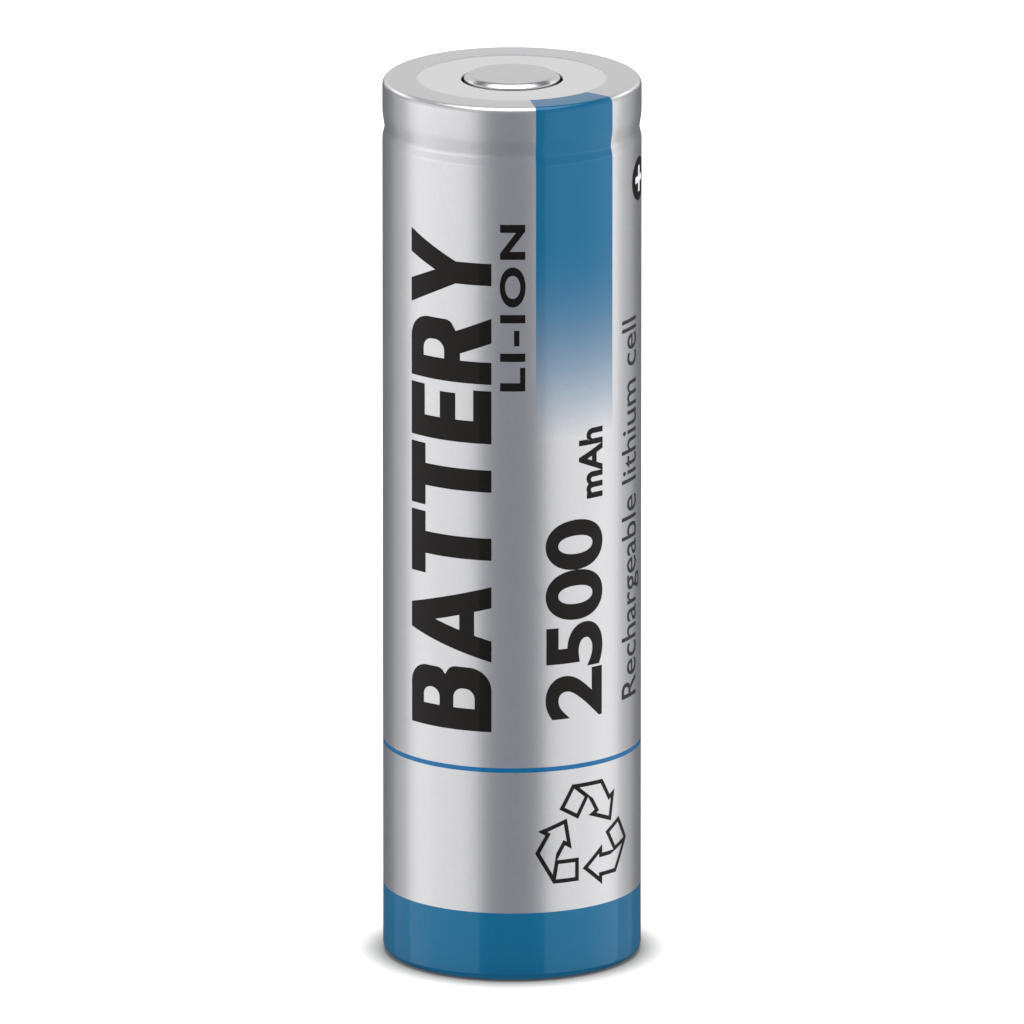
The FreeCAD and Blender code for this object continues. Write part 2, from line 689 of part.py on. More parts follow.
def negative_tab(doc):
    """Nickel tab: up the outside of the negative electrode, and flat across the can's base."""
    outside = f"({tab_radius('anode', ANODE_TAB_TURN)})"
    bottom = f"({CAN_BASE} + can_floor + air_gap)"
    riser = curved_strip(
        doc,
        "negative_tab_riser",
        outside,
        "tab_sheet",
        "tab_half",
        bottom,
        f"(negative_tab_top - {bottom})",
    )
    foot = block(
        doc,
        "negative_tab_foot_blank",
        "tab_half",
        "-negative_tab_end",
        f"negative_tab_end + {outside}",
        bottom,
        "tab_sheet",
    )
    trim = rod(doc, "negative_tab_trim", outside, "0", "roll_bottom")
    flat = combined(doc, "Part::Common", "negative_tab_foot", foot, trim)
    return combined(doc, "Part::Fuse", "negative_tab", riser, flat)


def positive_tab(doc):
    """Aluminium tab: up out of the roll, over it, and folded back under the interrupter plate."""
    outside = f"({tab_radius('cathode', CATHODE_TAB_TURN)})"
    riser = curved_strip(
        doc,
        "positive_tab_riser",
        outside,
        "tab_sheet",
        "tab_half",
        "positive_tab_bottom",
        "(positive_tab_shelf - positive_tab_bottom)",
    )
    top = f"({PLATE_BOTTOM} - plate_gap)"
    inner_bend = "fold_bend - tab_sheet"
    corners = (
        (outside, "positive_tab_shelf"),
        (outside, "positive_tab_shelf - tab_sheet"),
        ("-positive_fold", "positive_tab_shelf - tab_sheet", "fold_bend"),
        ("-positive_fold", top, "fold_bend"),
        ("positive_tab_end", top),
        ("positive_tab_end", f"{top} - tab_sheet"),
        ("tab_sheet - positive_fold", f"{top} - tab_sheet", inner_bend),
        ("tab_sheet - positive_fold", "positive_tab_shelf", inner_bend),
    )
    strap = doc.addObject("PartDesign::Body", "positive_tab_strap")
    sketch = outline(strap, "positive_tab_side", "YZ_Plane", corners)
    pad = strap.newObject("PartDesign::Pad", "positive_tab_pad")
    pad.Profile = sketch
    pad.SideType = "Symmetric"
    pad.setExpression("Length", bound("2 * tab_half"))
    sketch.Visibility = False
    trim = rod(doc, "positive_tab_trim", outside, "0", "cell_height")
    folded = combined(doc, "Part::Common", "positive_tab_folded", strap, trim)
    return combined(doc, "Part::Fuse", "positive_tab", riser, folded)


def build(doc):
    """Every sub-part of the cell, from the outside in."""
    separator = ("separator_sheet", SEPARATOR_TURNS, "separator_width")
    return [
        shrink_sleeve(doc),
        insulating_washer(doc),
        steel_can(doc),
        positive_cap(doc),
        ptc_ring(doc),
        vent_disc_rim(doc),
        vent_disc_dish(doc),
        interrupter_insulator(doc),
        interrupter_plate(doc),
        crimp_gasket(doc),
        top_insulator(doc),
        positive_tab(doc),
        electrode(doc, "positive_electrode", "cathode", CATHODE_TURNS, CATHODE_TAB_TURN),
        electrode(doc, "negative_electrode", "anode", ANODE_TURNS, ANODE_TAB_TURN),
        wound_strip(doc, "inner_separator", "inner_separator", *separator),
        wound_strip(doc, "outer_separator", "outer_separator", *separator),
        roll_tape(doc),
        center_pin(doc),
        negative_tab(doc),
        bottom_insulator(doc),
    ]


def check(doc, pieces):
    """Stop if anything in the document failed, or a sub-part is not one valid solid."""
    failed = [o.Name for o in doc.Objects if {"Invalid", "Error"} & set(o.State)]
    if failed:
        raise RuntimeError(f"failed objects: {failed}")
    for piece in pieces:
        shape = piece.Shape
        if shape.isNull() or not shape.isValid() or len(shape.Solids) != 1:
            raise RuntimeError(f"{piece.Label} is not one valid solid")


def main():
    doc = FreeCAD.newDocument("cylindrical_cell")
    make_sheet(doc)
    pieces = build(doc)
    doc.recompute()
    check(doc, pieces)
    os.makedirs("parts", exist_ok=True)
    for piece in pieces:
        piece.Label = piece.Name
        piece.Shape.exportStep(os.path.join("parts", f"{piece.Label}.step"))
        box = piece.Shape.BoundBox
        print(f"{piece.Label:24s} {piece.Shape.Volume:10.2f} mm3  z {box.ZMin:6.2f} to {box.ZMax:6.2f}")


main()
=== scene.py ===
"""Looks of the cylindrical cell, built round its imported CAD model.

Lengths are in metres. The cell stands on its negative end, +Z is up, and the camera looks along
+Y, so the front of the print is on the -Y side. Angles round the cell are measured from the front,
in degrees, and grow towards +X.
"""
import math

import bmesh
import bpy
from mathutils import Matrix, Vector


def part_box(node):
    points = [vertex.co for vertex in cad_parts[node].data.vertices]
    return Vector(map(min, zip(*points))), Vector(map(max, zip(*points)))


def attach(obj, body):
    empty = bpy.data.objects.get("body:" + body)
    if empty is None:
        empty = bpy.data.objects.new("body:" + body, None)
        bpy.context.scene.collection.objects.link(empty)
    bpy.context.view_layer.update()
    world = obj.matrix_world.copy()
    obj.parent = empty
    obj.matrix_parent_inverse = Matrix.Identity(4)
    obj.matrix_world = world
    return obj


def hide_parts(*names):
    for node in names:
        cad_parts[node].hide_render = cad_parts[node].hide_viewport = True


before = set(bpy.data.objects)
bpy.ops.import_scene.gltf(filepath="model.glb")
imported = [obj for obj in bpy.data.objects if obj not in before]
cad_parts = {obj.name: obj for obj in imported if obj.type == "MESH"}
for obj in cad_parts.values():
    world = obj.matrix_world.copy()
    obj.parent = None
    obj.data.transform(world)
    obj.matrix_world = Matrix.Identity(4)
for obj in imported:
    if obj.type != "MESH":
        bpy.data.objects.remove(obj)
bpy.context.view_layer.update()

MM = 0.001
BODY = "cell"

# edges bent by more than SHARP stay sharp; ARC_STEP and COLUMNS say how finely rounds are cut
SHARP = math.radians(32)
ARC_STEP = math.radians(6)
COLUMNS = 360


# ---------------------------------------------------------------- sizes, from the frame


def radius_of(node):
    """Outer radius of a turned CAD node."""
    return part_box(node)[1].x


def low_of(node):
    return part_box(node)[0].z


def high_of(node):
    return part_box(node)[1].z


def bore_of(node, low=-1.0, high=1.0):
    """Smallest radius of a CAD node's points between two heights."""
    points = (v.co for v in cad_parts[node].data.vertices)
    return min(math.hypot(p.x, p.y) for p in points if low <= p.z <= high)


SLEEVE_R = radius_of("shrink_sleeve")
SLEEVE_TOP = high_of("shrink_sleeve")

# the film's thickness, the height of the rolled groove, and the bends of the film at both ends
FILM = 0.1 * MM
GROOVE = SLEEVE_TOP - 3.6 * MM
FOOT_BEND = 0.6 * MM
SHOULDER_BEND = 0.5 * MM

# where the printed colours begin and end: heights, and degrees for the stripe
BAND_TOP = 5.12 * MM
LINE_LOW = 15.60 * MM
LINE_HIGH = 15.94 * MM
STRIPE_LEFT = 10.6
STRIPE_WIDTH = 40
FADE_TOP = 56.0 * MM
FADE_BOTTOM = 40.2 * MM
FADE_POWER = 2.7

# how far the print stands out of the film, and how deep it sits in it
INK_PROUD = 0.010 * MM
INK_SUNK = 0.020 * MM

# the print is bent into flats of this many degrees
INK_FACET = 1.5


# ---------------------------------------------------------------- mesh tools


def rounded(corners):
    """Points of a closed outline of (radius, height) or (radius, height, bend) corners."""
    points = []
    count = len(corners)
    for n, corner in enumerate(corners):
        here = Vector(corner[:2])
        if len(corner) == 2:
            points.append(tuple(here))
            continue
        back = (Vector(corners[n - 1][:2]) - here).normalized()
        ahead = (Vector(corners[(n + 1) % count][:2]) - here).normalized()
        half = back.angle(ahead) / 2
        reach = corner[2] / math.tan(half)
        centre = here + (back + ahead).normalized() * (corner[2] / math.sin(half))
        first = here + back * reach - centre
        last = here + ahead * reach - centre
        turn = first.angle_signed(last)
        steps = max(2, math.ceil(abs(turn) / ARC_STEP))
        for k in range(steps + 1):
            angle = -turn * k / steps
            cosine, sine = math.cos(angle), math.sin(angle)
            spoke = Vector((first.x * cosine - first.y * sine, first.x * sine + first.y * cosine))
            points.append(tuple(centre + spoke))
    return points


def with_rows(points, heights):
    """The outline with extra points where its upright stretches pass the given heights."""
    result = []
    for n, (r, z) in enumerate(points):
        result.append((r, z))
        next_r, next_z = points[(n + 1) % len(points)]
        low, high = min(z, next_z), max(z, next_z)
        inside = [h for h in heights if low + FILM / 10 < h < high - FILM / 10]
        for h in sorted(inside, reverse=next_z < z):
            share = (h - z) / (next_z - z)
            result.append((r + (next_r - r) * share, h))
    return result


def around(radius, angle, z):
    """A point at an angle round the cell, in radians from the front."""
    return Vector((radius * math.sin(angle), -radius * math.cos(angle), z))


def finish_mesh(name, bm):
    """Turn a bmesh into a shaded object: smooth, but sharp where faces meet at an angle."""
    bmesh.ops.recalc_face_normals(bm, faces=bm.faces[:])
    for face in bm.faces:
        face.smooth = True
    for edge in bm.edges:
        if len(edge.link_faces) == 2 and edge.calc_face_angle(0) > SHARP:
            edge.smooth = False
    mesh = bpy.data.meshes.new(name)
    bm.to_mesh(mesh)
    bm.free()
    piece = bpy.data.objects.new(name, mesh)
    bpy.context.scene.collection.objects.link(piece)
    return piece


def lathe(name, outline, angles=None, shape=None):
    """A closed mesh turned round Z from a closed outline. shape(r, z, angle) may move a point."""
    angles = angles or [2 * math.pi * k / COLUMNS for k in range(COLUMNS)]
    bm = bmesh.new()
    rings = []
    for r, z in outline:
        if r < FILM / 100:
            rings.append([bm.verts.new((0, 0, z))] * len(angles))
            continue
        ring = []
        for angle in angles:
            new_r, new_z = shape(r, z, angle) if shape else (r, z)
            ring.append(bm.verts.new(around(new_r, angle, new_z)))
        rings.append(ring)
    for n, ring in enumerate(rings):
        following = rings[(n + 1) % len(rings)]
        if ring[0] is ring[1] and following[0] is following[1]:
            continue
        for k in range(len(angles)):
            m = (k + 1) % len(angles)
            corners = dict.fromkeys((ring[k], ring[m], following[m], following[k]))
            bm.faces.new(list(corners))
    return finish_mesh(name, bm)


def turned_ring(hole, radius, low, high, edge):
    """Outline of a flat ring with lightly broken edges."""
    return rounded(
        (
            (hole, low, edge),
            (radius, low, edge),
            (radius, high, edge),
            (hole, high, edge),
        )
    )


def keep(piece, nodes, slot, *materials):
    """Let a piece ride on the cell, give it its materials, and let it stand for CAD nodes."""
    for material in materials:
        piece.data.materials.append(material)
    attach(piece, BODY)
    if nodes:
        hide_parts(*nodes)
    return piece


# ---------------------------------------------------------------- material tools


class Paint:
    """A Principled material whose patterns are built from object coordinates."""

    def __init__(self, name, **settings):
        self.material = bpy.data.materials.new(name)
        self.material.use_nodes = True
        self.tree = self.material.node_tree
        self.shader = self.tree.nodes["Principled BSDF"]
        for socket, value in settings.items():
            self.shader.inputs[socket.replace("_", " ")].default_value = value
        self.place = self.node("ShaderNodeTexCoord").outputs["Object"]

    def node(self, kind, **settings):
        made = self.tree.nodes.new(kind)
        for key, value in settings.items():
            setattr(made, key, value)
        return made

    def link(self, source, target):
        self.tree.links.new(source, target)

    def stretched(self, x, y, z):
        """Object coordinates with each axis scaled, so that a pattern runs along one of them."""
        mapping = self.node("ShaderNodeMapping")
        self.link(self.place, mapping.inputs["Vector"])
        mapping.inputs["Scale"].default_value = (x, y, z)
        return mapping.outputs["Vector"]

    def noise(self, scale, detail=3.0, place=None):
        """Noise from 0 to 1. scale is in repeats per metre."""
        made = self.node("ShaderNodeTexNoise")
        made.inputs["Scale"].default_value = scale
        made.inputs["Detail"].default_value = detail
        self.link(place or self.place, made.inputs["Vector"])
        return made.outputs["Fac"]

    def maths(self, operation, first, second=0.5, third=0.5):
        made = self.node("ShaderNodeMath", operation=operation)
        for socket, value in zip(made.inputs, (first, second, third)):
            if isinstance(value, (int, float)):
                socket.default_value = value
            else:
                self.link(value, socket)
        return made.outputs[0]

    def spread(self, source, low, high):
        """Map 0..1 to low..high."""
        return self.maths("MULTIPLY_ADD", source, high - low, low)

    def blend(self, share, first, second):
        """Mix two colours, each a colour or a socket."""
        made = self.node("ShaderNodeMix", data_type="RGBA")
        sockets = (made.inputs[0], made.inputs[6], made.inputs[7])
        for socket, value in zip(sockets, (share, first, second)):
            if isinstance(value, tuple):
                socket.default_value = (*value, 1)
            elif isinstance(value, (int, float)):
                socket.default_value = value
            else:
                self.link(value, socket)
        return made.outputs[2]

    def radius_and_height(self):
        """Distance from the cell's axis, and height, in metres."""
        split = self.node("ShaderNodeSeparateXYZ")
        self.link(self.place, split.inputs[0])
        square = self.maths("MULTIPLY", split.outputs["X"], split.outputs["X"])
        total = self.maths("MULTIPLY_ADD", split.outputs["Y"], split.outputs["Y"], square)
        return self.maths("SQRT", total), split.outputs["Z"]

    def colour(self, socket):
        self.link(socket, self.shader.inputs["Base Color"])

    def roughness(self, socket):
        self.link(socket, self.shader.inputs["Roughness"])

    def coat(self, weight, roughness):
        """A clear layer over the rest."""
        self.shader.inputs["Coat Weight"].default_value = weight
        self.shader.inputs["Coat Roughness"].default_value = roughness
        self.shader.inputs["Coat IOR"].default_value = 1.5

    def bump(self, height, distance, coat=False):
        """Relief of a height pattern, distance in metres."""
        made = self.node("ShaderNodeBump")
        made.inputs["Distance"].default_value = distance
        made.inputs["Strength"].default_value = 1.0
        self.link(height, made.inputs["Height"])
        self.link(made.outputs["Normal"], self.shader.inputs["Normal"])
        if coat:
            self.link(made.outputs["Normal"], self.shader.inputs["Coat Normal"])


SILVER = (0.65, 0.65, 0.652)
SILVER_DEEP = (0.58, 0.58, 0.583)
INK_BLACK = (0.008, 0.006, 0.005)
INK_DEEP = (0.005, 0.004, 0.003)
INK_GREY = (0.05, 0.05, 0.056)
SILVER_METAL = 0.92
BLUE_METAL = 0.22
BLUE = (0.003, 0.135, 0.275)
BLUE_DEEP = (0.002, 0.122, 0.252)
LINE_BLUE = (0.001, 0.13, 0.32)
LINE_DEEP = (0.001, 0.12, 0.30)


def film_paint(name, metallic):
    """The gloss of a clear film over metallic ink, with its fine orange peel."""
    paint = Paint(name, Metallic=metallic, Specular_IOR_Level=0.1)
    paint.coat(0.42, 0.045)
    flakes = paint.noise(5200, 2)
    paint.roughness(paint.spread(flakes, 0.30, 0.38))
    peel = paint.noise(900, 2)
    pull = paint.noise(160, 1, paint.stretched(1, 1, 0.25))
    paint.bump(paint.maths("MULTIPLY_ADD", pull, 3.0, peel), 0.0022 * MM, coat=True)
    return paint, flakes


def sleeve_silver():
    paint, flakes = film_paint("sleeve_silver", SILVER_METAL)
    paint.colour(paint.blend(flakes, SILVER_DEEP, SILVER))
    return paint.material


def sleeve_blue(name, colour, deep):
    """Blue ink with only a little metal in it."""
    paint, flakes = film_paint(name, BLUE_METAL)
    paint.colour(paint.blend(flakes, deep, colour))
    return paint.material


def sleeve_stripe():
    """Blue at the top that thins out downwards until only the silver is left."""
    paint, flakes = film_paint("sleeve_stripe", SILVER_METAL)
    silver = paint.blend(flakes, SILVER_DEEP, SILVER)
    blue = paint.blend(flakes, BLUE_DEEP, BLUE)
    height = paint.radius_and_height()[1]
    down = paint.node("ShaderNodeMapRange")
    paint.link(height, down.inputs["Value"])
    down.inputs["From Min"].default_value = FADE_TOP
    down.inputs["From Max"].default_value = FADE_BOTTOM
    share = paint.maths("POWER", down.outputs["Result"], FADE_POWER)
    paint.colour(paint.blend(share, blue, silver))
    paint.link(paint.spread(share, BLUE_METAL, SILVER_METAL), paint.shader.inputs["Metallic"])
    return paint.material


def film_edge():
    """The film near its cut edge at the top: pale and dull like clear film, and painted paler still to
    lift the shade on the lip's inner edge.
    """
    paint = Paint("sleeve_edge", Specular_IOR_Level=0.3)
    grain = paint.noise(1500, 2)
    # partly painted light: this pale colour also lightens the shade that falls on the film's cut edge
    paint.colour(paint.blend(grain, (0.78, 0.78, 0.785), (0.88, 0.88, 0.885)))
    paint.roughness(paint.spread(grain, 0.5, 0.65))
    return paint.material


def ink(name, colour, deep):
    """Dense printing ink, which is a little duller than the film."""
    paint = Paint(name, Specular_IOR_Level=0.08)
    paint.coat(0.16, 0.05)
    grain = paint.noise(2600, 3)
    paint.colour(paint.blend(grain, deep, colour))
    paint.roughness(paint.spread(grain, 0.38, 0.5))
    paint.bump(paint.noise(900, 2), 0.0016 * MM, coat=True)
    return paint.material


def nickel(name, colour, deep, ring_scale):
    """Nickel-plated steel, with fine rings from drawing and cloudy patches."""
    paint = Paint(name, Metallic=1.0)
    radius, height = paint.radius_and_height()
    travel = paint.maths("ADD", radius, height)
    rings = paint.node("ShaderNodeTexNoise", noise_dimensions="1D")
    paint.link(paint.maths("MULTIPLY", travel, ring_scale), rings.inputs["W"])
    rings.inputs["Scale"].default_value = 1.0
    clouds = paint.noise(420, 4)
    both = paint.maths("MULTIPLY_ADD", rings.outputs["Fac"], 0.3, paint.maths("MULTIPLY", clouds, 0.7))
    paint.colour(paint.blend(clouds, deep, colour))
    paint.roughness(paint.spread(both, 0.2, 0.26))
    paint.bump(rings.outputs["Fac"], 0.0002 * MM)
    return paint.material


def paper(name, colour, deep):
    """Pressed insulating paper with short fibres."""
    paint = Paint(name, Specular_IOR_Level=0.25)
    fibres = paint.noise(1500, 6, paint.stretched(1, 2.2, 1))
    cloud = paint.noise(260, 2)
    both = paint.maths("MULTIPLY_ADD", fibres, 0.6, paint.maths("MULTIPLY", cloud, 0.4))
    paint.colour(paint.blend(both, deep, colour))
    paint.roughness(paint.spread(fibres, 0.7, 0.9))
    paint.bump(fibres, 0.008 * MM)
    return paint.material


def plastic(name, colour, deep, rough=(0.32, 0.5)):
    """Moulded plastic with a light grain."""
    paint = Paint(name)
    grain = paint.noise(1800, 3)
    paint.colour(paint.blend(grain, deep, colour))
    paint.roughness(paint.spread(grain, *rough))
    paint.bump(grain, 0.004 * MM)
    return paint.material


def rolled_metal(name, colour, deep):
    """Rolled strip, with fine lines that run mostly along Z."""
    paint = Paint(name, Metallic=1.0)
    lines = paint.noise(900, 3, paint.stretched(6, 1, 0.15))
    paint.colour(paint.blend(lines, deep, colour))
    paint.roughness(paint.spread(lines, 0.25, 0.4))
    paint.bump(lines, 0.0015 * MM)
    return paint.material


def coating(name, colour, deep):
    """Powder coating of an electrode, calendered flat."""
    paint = Paint(name, Specular_IOR_Level=0.3)
    powder = paint.noise(6500, 5)
    cloud = paint.noise(180, 2)
    paint.colour(paint.blend(paint.maths("MULTIPLY", powder, cloud), deep, colour))
    paint.roughness(paint.spread(powder, 0.6, 0.85))
    paint.bump(powder, 0.003 * MM)
    return paint.material


# ---------------------------------------------------------------- the sleeve


# the order of the sleeve's materials
PLAIN, BAND, STRIPE, LINE, EDGE = range(5)


def sleeve_outline():
    """Half section of the sleeve: its outside from the lower lip to the upper one, and back."""
    lower_lip = bore_of("shrink_sleeve", high=FILM)
    upper_lip = bore_of("shrink_sleeve", low=SLEEVE_TOP - FILM)
    outer, inner = SLEEVE_R, SLEEVE_R - FILM
    low, high = GROOVE - 0.7 * MM, GROOVE + 1.15 * MM
    lower_bend, upper_bend, floor_bend = 0.8 * MM, 3.0 * MM, 1.0 * MM
    dip = 0.17 * MM
    return rounded(
        (
            (lower_lip, 0),
            (outer, 0, FOOT_BEND),
            (outer, low, lower_bend),
            (outer - dip, GROOVE, floor_bend),
            (outer, high, upper_bend),
            (outer, SLEEVE_TOP, SHOULDER_BEND),
            (upper_lip, SLEEVE_TOP),
            (upper_lip, SLEEVE_TOP - FILM),
            (inner, SLEEVE_TOP - FILM, SHOULDER_BEND - FILM),
            (inner, high, upper_bend - FILM),
            (inner - dip, GROOVE, floor_bend + FILM),
            (inner, low, lower_bend - FILM),
            (inner, FILM, FOOT_BEND - FILM),
            (lower_lip, FILM),
        )
    )


def shrunk_edge(r, z, angle):
    """Shrink film ends in slightly wavy lips, with faint puckers where the upper one drew in."""
    start = SLEEVE_R - 1.2 * SHOULDER_BEND
    if r >= start:
        return r, z
    share = min(1.0, (start - r) / (1.7 * MM))
    wave = math.sin(3 * angle + 0.6) + 0.6 * math.sin(7 * angle + 2.1) + 0.35 * math.sin(17 * angle)
    r += share * share * wave * 0.028 * MM
    if z > SLEEVE_TOP / 2:
        pucker = 0.5 + 0.5 * math.sin(46 * angle + 2.2 * math.sin(5 * angle))
        z += share * (1 - share) * 4 * pucker * 0.006 * MM
    return r, z


def print_zone(point, stripe, lip):
    """Which of the sleeve's materials covers the face with this middle point."""
    angle = math.atan2(point.x, -point.y)
    if point.z > SLEEVE_TOP - FILM and math.hypot(point.x, point.y) < lip:
        return EDGE
    if LINE_LOW < point.z < LINE_HIGH:
        return LINE
    if stripe[0] < angle < stripe[1] and point.z > FADE_BOTTOM - FILM:
        return STRIPE
    return BAND if point.z < BAND_TOP else PLAIN


def build_sleeve():
    """The printed film, with face rows and columns where its colours change."""
    rows = (BAND_TOP, LINE_LOW, LINE_HIGH, FADE_BOTTOM - FILM)
    outline = with_rows(sleeve_outline(), rows)
    first = math.radians(STRIPE_LEFT)
    angles = [first + 2 * math.pi * k / COLUMNS for k in range(COLUMNS)]
    piece = lathe("sleeve", outline, angles, shrunk_edge)
    materials = (
        sleeve_silver(),
        sleeve_blue("sleeve_blue", BLUE, BLUE_DEEP),
        sleeve_stripe(),
        sleeve_blue("sleeve_line", LINE_BLUE, LINE_DEEP),
        film_edge(),
    )
    keep(piece, ["shrink_sleeve"], "sleeve_film", *materials)
    stripe = (first, first + math.radians(STRIPE_WIDTH))
    lip = bore_of("shrink_sleeve", low=SLEEVE_TOP - FILM) + FILM / 2
    for face in piece.data.polygons:
        face.material_index = print_zone(face.center, stripe, lip)
    return piece


# ---------------------------------------------------------------- the print


def flat_mesh(curve):
    """The filled outline of a flat curve or text, as a bmesh."""
    holder = bpy.data.objects.new("outline", curve)
    bpy.context.scene.collection.objects.link(holder)
    graph = bpy.context.evaluated_depsgraph_get()
    mesh = bpy.data.meshes.new_from_object(holder.evaluated_get(graph))
    bm = bmesh.new()
    bm.from_mesh(mesh)
    bpy.data.objects.remove(holder)
    bpy.data.meshes.remove(mesh)
    bmesh.ops.remove_doubles(bm, verts=bm.verts[:], dist=1e-7)
    return bm


def lettering(text, weight, spacing):
    """A flat mesh of upright lettering in the plain built-in typeface."""
    curve = bpy.data.curves.new("lettering", "FONT")
    curve.body = text
    curve.size = 1.0
    curve.offset = weight
    curve.space_character = spacing
    curve.resolution_u = 10
    return flat_mesh(curve)


def shape_curve(loops):
    """A flat curve filled between closed loops of points, so a loop inside another is a hole."""
    curve = bpy.data.curves.new("shape", "CURVE")
    curve.dimensions = "2D"
    curve.fill_mode = "BOTH"
    for loop in loops:
        spline = curve.splines.new("POLY")
        spline.points.add(len(loop) - 1)
        for point, (x, y) in zip(spline.points, loop):
            point.co = (x, y, 0, 1)
        spline.use_cyclic_u = True
    return curve


def fit(bm, low, size):
    """Scale and move a flat mesh so that its box starts at low and has this size."""
    xs = [v.co.x for v in bm.verts]
    ys = [v.co.y for v in bm.verts]
    for v in bm.verts:
        v.co.x = low[0] + (v.co.x - min(xs)) / (max(xs) - min(xs)) * size[0]
        v.co.y = low[1] + (v.co.y - min(ys)) / (max(ys) - min(ys)) * size[1]


def print_on_sleeve(name, bm, material):
    """Wrap a flat mesh on the sleeve: its x runs round the cell from the front, its y is height."""
    xs = [v.co.x for v in bm.verts]
    gap = SLEEVE_R * math.radians(INK_FACET)
    for k in range(math.ceil(min(xs) / gap), math.floor(max(xs) / gap) + 1):
        geometry = bm.verts[:] + bm.edges[:] + bm.faces[:]
        cut = {"plane_co": (k * gap, 0, 0), "plane_no": (1, 0, 0), "dist": 1e-8}
        bmesh.ops.bisect_plane(bm, geom=geometry, **cut)
    bm.normal_update()
    bmesh.ops.reverse_faces(bm, faces=[face for face in bm.faces if face.normal.z < 0])
    bmesh.ops.solidify(bm, geom=bm.faces[:], thickness=INK_PROUD + INK_SUNK)
    levels = [v.co.z for v in bm.verts]
    lowest = min(levels)
    for v in bm.verts:
        radius = SLEEVE_R - INK_SUNK + (v.co.z - lowest)
        v.co = around(radius, v.co.x / SLEEVE_R, v.co.y)
    piece = finish_mesh(name, bm)
    shade_as_cylinder(piece.data)
    return keep(piece, [], "sleeve_film", material)


def shade_as_cylinder(mesh):
    """Give the curved faces exactly radial normals, so that their triangles never show."""
    normals = [None] * len(mesh.loops)
    for face in mesh.polygons:
        for index in face.loop_indices:
            point = mesh.vertices[mesh.loops[index].vertex_index].co
            outwards = Vector((point.x, point.y, 0)).normalized()
            facing = face.normal.dot(outwards)
            curved = abs(facing) > math.cos(SHARP)
            normals[index] = outwards * math.copysign(1, facing) if curved else face.normal
    mesh.normals_split_custom_set(normals)


def print_word(name, bm, angles, heights, material):
    """A flat word that reads upwards: angles are its top and baseline, heights its two ends."""
    for v in bm.verts:
        v.co.x, v.co.y = -v.co.y, v.co.x
    left, right = (math.radians(a) * SLEEVE_R for a in angles)
    low, high = (z * MM for z in heights)
    fit(bm, (left, low), (right - left, high - low))
    return print_on_sleeve(name, bm, material)


def heavy_letters():
    """Heavy upright capitals, one unit tall: each has a width, and its closed outlines."""
    return {
        "A": (0.86, (
            ((0, 0), (0.24, 0), (0.295, 0.19), (0.565, 0.19), (0.62, 0), (0.86, 0), (0.57, 1),
             (0.29, 1)),
            ((0.344, 0.36), (0.516, 0.36), (0.43, 0.655)),
        )),
        "B": (0.72, (
            ((0, 0), (0.72, 0, 0.25), (0.72, 0.47, 0.12), (0.615, 0.53), (0.685, 0.585, 0.1),
             (0.685, 1, 0.23), (0, 1)),
            ((0.25, 0.185), (0.475, 0.185, 0.11), (0.475, 0.43, 0.11), (0.25, 0.43)),
            ((0.25, 0.6), (0.445, 0.6, 0.1), (0.445, 0.815, 0.1), (0.25, 0.815)),
        )),
        "E": (0.6, (
            ((0, 0), (0.6, 0), (0.6, 0.2), (0.25, 0.2), (0.25, 0.405), (0.55, 0.405),
             (0.55, 0.595), (0.25, 0.595), (0.25, 0.8), (0.6, 0.8), (0.6, 1), (0, 1)),
        )),
        "R": (0.75, (
            ((0, 0), (0.25, 0), (0.25, 0.35), (0.33, 0.35), (0.47, 0), (0.75, 0), (0.58, 0.4),
             (0.7, 0.47, 0.1), (0.7, 1, 0.26), (0, 1)),
            ((0.25, 0.54), (0.455, 0.54, 0.12), (0.455, 0.815, 0.12), (0.25, 0.815)),
        )),
        "T": (0.7, (
            ((0.225, 0), (0.475, 0), (0.475, 0.79), (0.7, 0.79), (0.7, 1), (0, 1), (0, 0.79),
             (0.225, 0.79)),
        )),
        "Y": (0.84, (
            ((0.295, 0), (0.545, 0), (0.545, 0.4), (0.84, 1), (0.57, 1), (0.42, 0.655), (0.27, 1),
             (0, 1), (0.295, 0.4)),
        )),
    }


def heavy_word(word):
    """A flat mesh of a word in the heavy capitals."""
    gap = 0.075
    letters = heavy_letters()
    loops = []
    start = 0
    for letter in word:
        width, outlines = letters[letter]
        for corners in outlines:
            loops.append([(x + start, y) for x, y in rounded(corners)])
        start += width + gap
    return flat_mesh(shape_curve(loops))


def circle_loop(radius, count=72):
    turn = 2 * math.pi / count
    return [(radius * math.cos(turn * k), radius * math.sin(turn * k)) for k in range(count)]


def plus_loop(arm, half):
    """A plus sign: arm is its reach, half is half the width of its strokes."""
    quarter = ((arm, -half), (arm, half), (half, half))
    loop = []
    for k in range(4):
        cosine, sine = (1, 0, -1, 0)[k], (0, 1, 0, -1)[k]
        loop += [(x * cosine - y * sine, x * sine + y * cosine) for x, y in quarter]
    return loop


def bar_loop(arm, half):
    return [(-arm, -half), (arm, -half), (arm, half), (-arm, half)]


def print_polarity(name, sign, angle, height, inks):
    """A dark disc with a light sign in it."""
    where = math.radians(angle) * SLEEVE_R
    disc = [circle_loop(1.6 * MM), sign]
    for suffix, loops, material in (("disc", disc, inks[0]), ("sign", [sign], inks[1])):
        moved = [[(x + where, y + height) for x, y in loop] for loop in loops]
        print_on_sleeve(f"{name}_{suffix}", flat_mesh(shape_curve(moved)), material)


